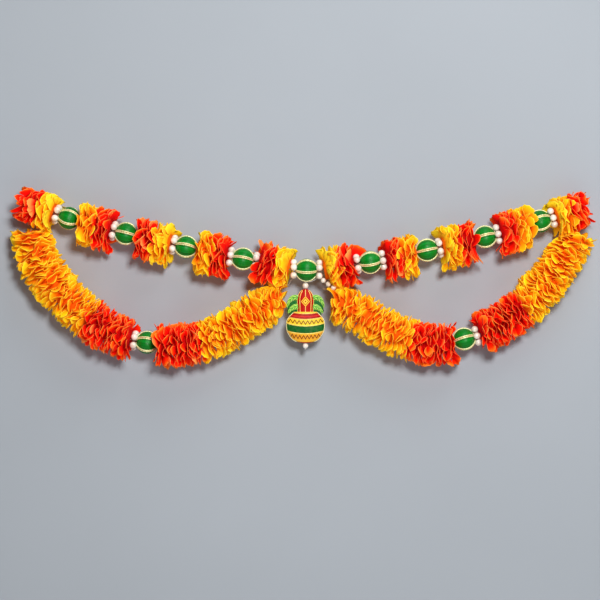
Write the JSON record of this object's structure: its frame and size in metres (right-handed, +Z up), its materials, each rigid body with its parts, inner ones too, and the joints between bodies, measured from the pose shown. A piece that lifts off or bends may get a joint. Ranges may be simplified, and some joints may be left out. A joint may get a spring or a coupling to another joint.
{
  "type": "door garland",
  "caption": "Door garland of cloth marigold petals: a strand of tufts, silk-wound beads and pearl rings, swags below it and a painted pot pendant, hung by thread loops at its ends.",
  "frame": {"origin": "middle of the garland's bounding box, on the plane of its threads", "axes": "+X to the viewer's right along the strand, +Y to the wall behind, +Z up"},
  "size_m": [0.9665, 0.0789, 0.3048],
  "materials": {
    "marigold_yellow": "matt cut cloth, amber in the folds and pale at the cut edges",
    "marigold_orange": "matt cut cloth, deep red in the folds and orange at the tips",
    "green_silk": "wound silk thread with gold braid bands",
    "pearl": "pearl lustre",
    "thread": "twisted white thread",
    "painted_pot": "hand-painted in red, green, yellow and gold"
  },
  "bodies": {
    "root": {"bead_01": "green_silk", "bead_02": "green_silk", "bead_03": "green_silk", "bead_04": "green_silk", "bead_05": "green_silk", "bead_06": "green_silk", "bead_07": "green_silk", "bead_08": "green_silk", "bead_09": "green_silk", "bead_left_swag": "green_silk", "bead_right_swag": "green_silk", "kalash": "painted_pot", "pearl_bottom": "pearl", "pearl_chain": "pearl", "pearl_ring_01_left": "pearl", "pearl_ring_02_left": "pearl", "pearl_ring_03_left": "pearl", "pearl_ring_04_left": "pearl", "pearl_ring_04_right": "pearl", "pearl_ring_05_left": "pearl", "pearl_ring_05_right": "pearl", "pearl_ring_06_left": "pearl", "pearl_ring_06_right": "pearl", "pearl_ring_07_right": "pearl", "pearl_ring_08_right": "pearl", "pearl_ring_09_right": "pearl", "pearl_ring_left_swag": "pearl", "pearl_ring_right_swag": "pearl", "pearl_top": "pearl", "pendant_thread": "thread", "stringing_thread": "thread", "swag_left_1_yellow": "marigold_yellow", "swag_left_2_orange": "marigold_orange", "swag_left_3_orange": "marigold_orange", "swag_left_4_yellow": "marigold_yellow", "swag_right_1_yellow": "marigold_yellow", "swag_right_2_orange": "marigold_orange", "swag_right_3_orange": "marigold_orange", "swag_right_4_yellow": "marigold_yellow", "tuft_01_orange": "marigold_orange", "tuft_01_yellow": "marigold_yellow", "tuft_02_orange": "marigold_orange", "tuft_02_yellow": "marigold_yellow", "tuft_03_orange": "marigold_orange", "tuft_03_yellow": "marigold_yellow", "tuft_04_orange": "marigold_orange", "tuft_04_yellow": "marigold_yellow", "tuft_05_orange": "marigold_orange", "tuft_05_yellow": "marigold_yellow", "tuft_06_orange": "marigold_orange", "tuft_06_yellow": "marigold_yellow", "tuft_07_orange": "marigold_orange", "tuft_07_yellow": "marigold_yellow", "tuft_08_orange": "marigold_orange", "tuft_08_yellow": "marigold_yellow", "tuft_09_orange": "marigold_orange", "tuft_09_yellow": "marigold_yellow", "tuft_10_orange": "marigold_orange", "tuft_10_yellow": "marigold_yellow"}
  },
  "joints": []
}
